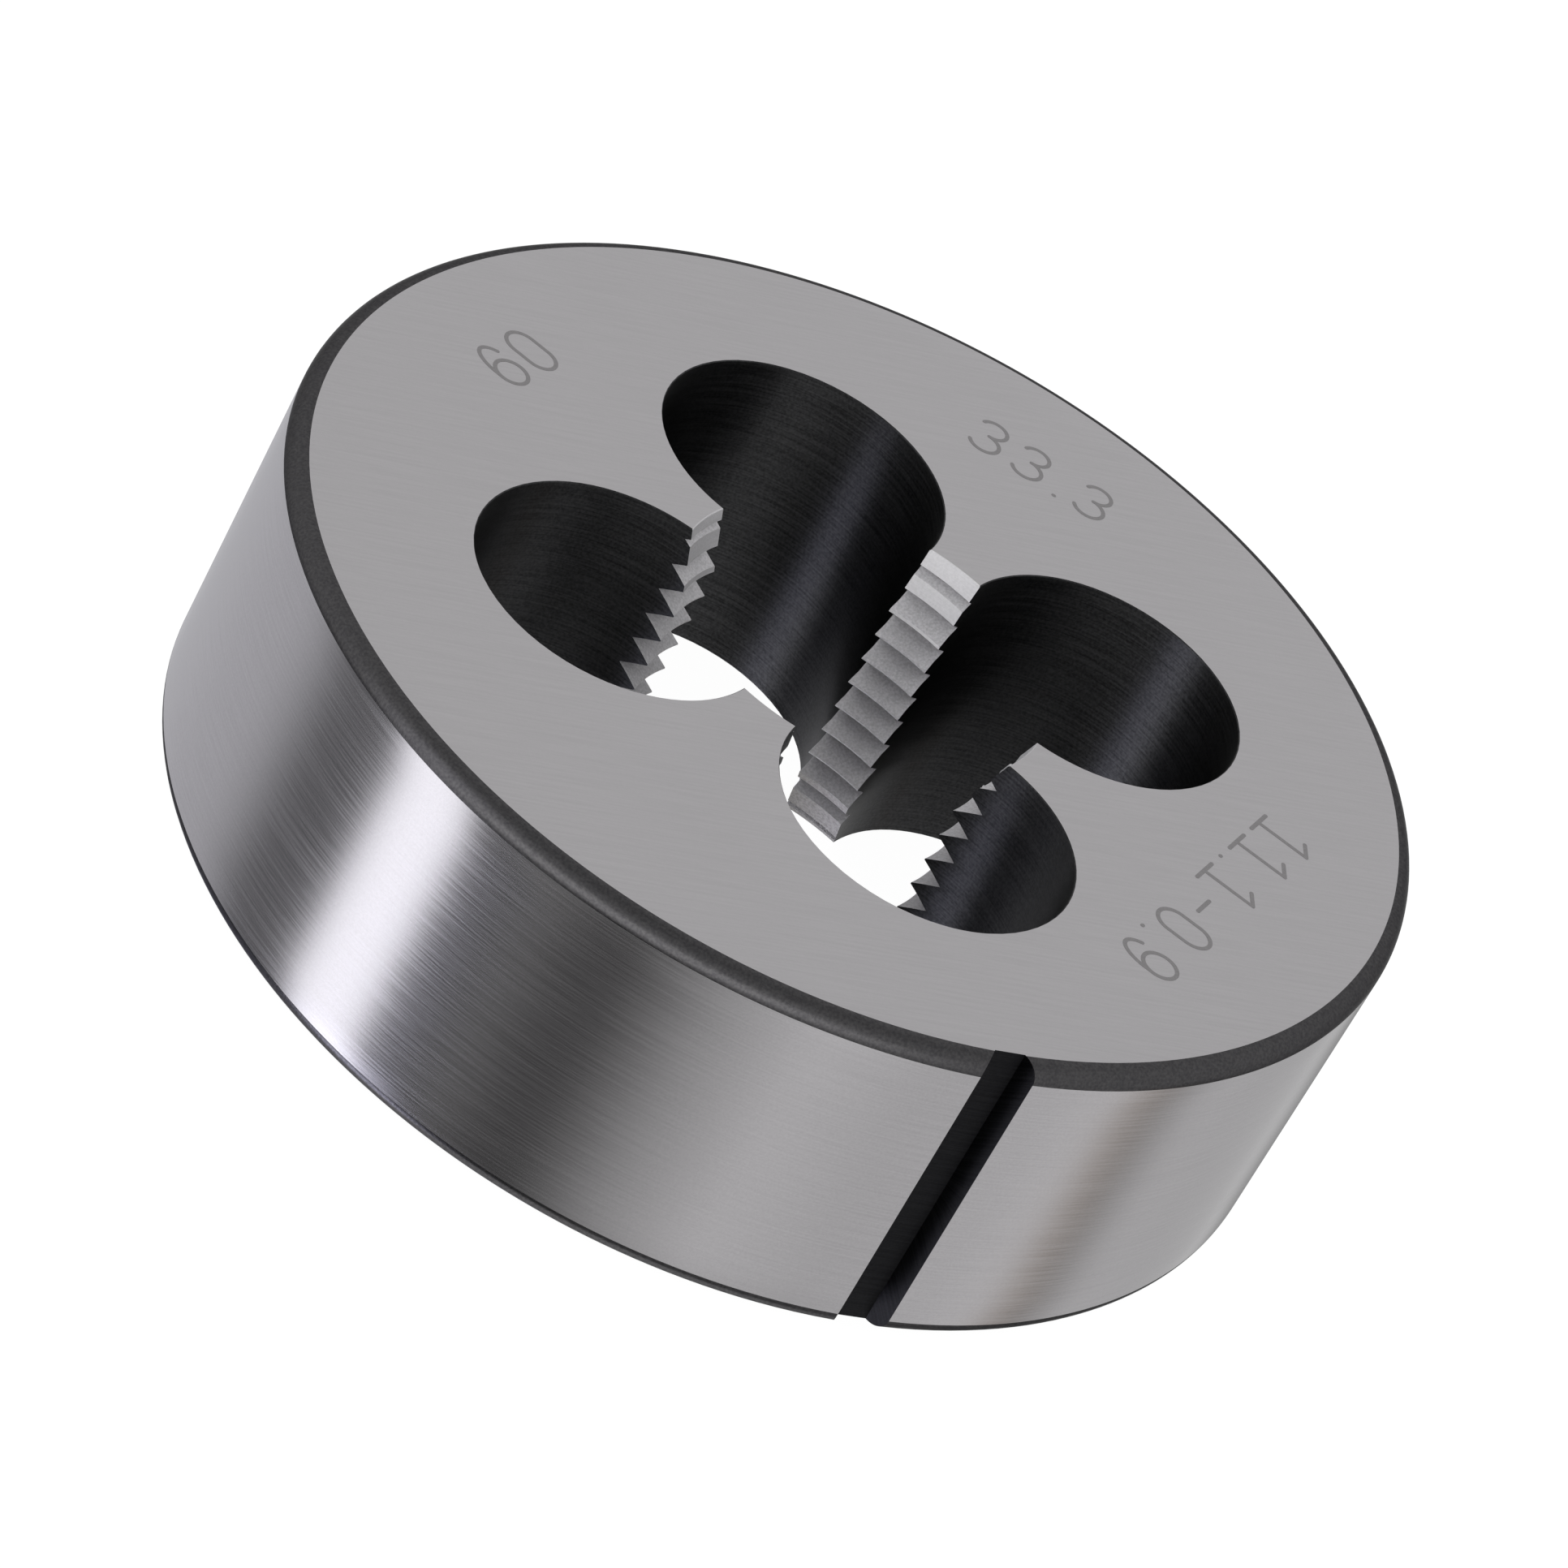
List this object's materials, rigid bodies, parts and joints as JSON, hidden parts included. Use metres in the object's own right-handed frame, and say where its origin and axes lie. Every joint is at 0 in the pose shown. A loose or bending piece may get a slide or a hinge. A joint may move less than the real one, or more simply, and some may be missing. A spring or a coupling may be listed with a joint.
{
  "type": "threading die",
  "caption": "Round one-piece threading die: threaded bore with chip holes opening into it, a lead-in taper at both ends and a set-screw groove down the outside.",
  "frame": {"origin": "middle of the bottom face, on the die's axis", "axes": "+Z along the die's axis, from the bottom face to the top face; +X towards the middle of the first chip hole; -Y towards the set-screw groove"},
  "size_m": [0.0334, 0.0334, 0.0099],
  "materials": {
    "die_body": "ground faces, darker oxide in the chip holes and the groove"
  },
  "bodies": {
    "root": {"die_body": "die_body"}
  },
  "joints": []
}
